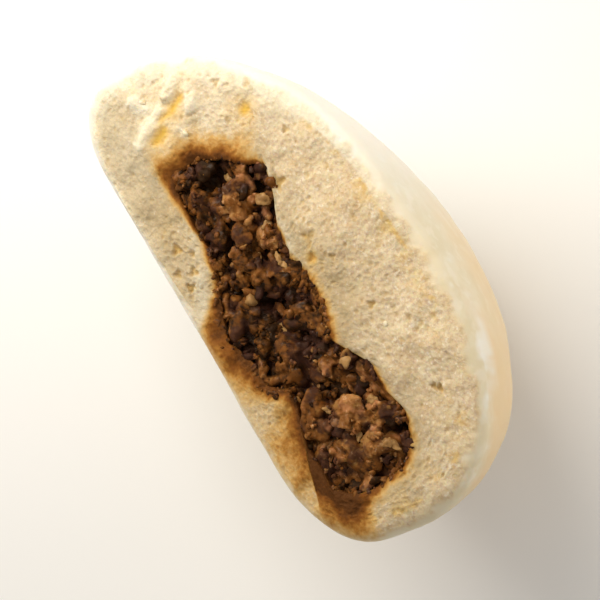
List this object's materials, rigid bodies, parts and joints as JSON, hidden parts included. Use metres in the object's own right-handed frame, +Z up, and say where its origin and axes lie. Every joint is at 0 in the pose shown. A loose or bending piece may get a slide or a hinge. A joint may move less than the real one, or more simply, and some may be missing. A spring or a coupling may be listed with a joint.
{
  "type": "steamed beef bun half",
  "caption": "Half of a steamed bun cut through its middle, soft domed white dough with a flat base around a band of minced beef filling, lying with the cut face up",
  "frame": {"origin": "centre of the bounding box on the surface it rests on", "axes": "+X along the cut face's long side, +Y toward the bun's flat base, +Z up; the cut face looks up, tipped 15 degrees so that the base side is lifted"},
  "size_m": [0.114, 0.0556, 0.0628],
  "materials": {
    "steamed_dough": "soft, slightly moist steamed dough",
    "minced_beef": "moist minced beef in dark sauce"
  },
  "bodies": {
    "root": {"bun_dough": "steamed_dough", "beef_filling": "minced_beef"}
  },
  "joints": []
}
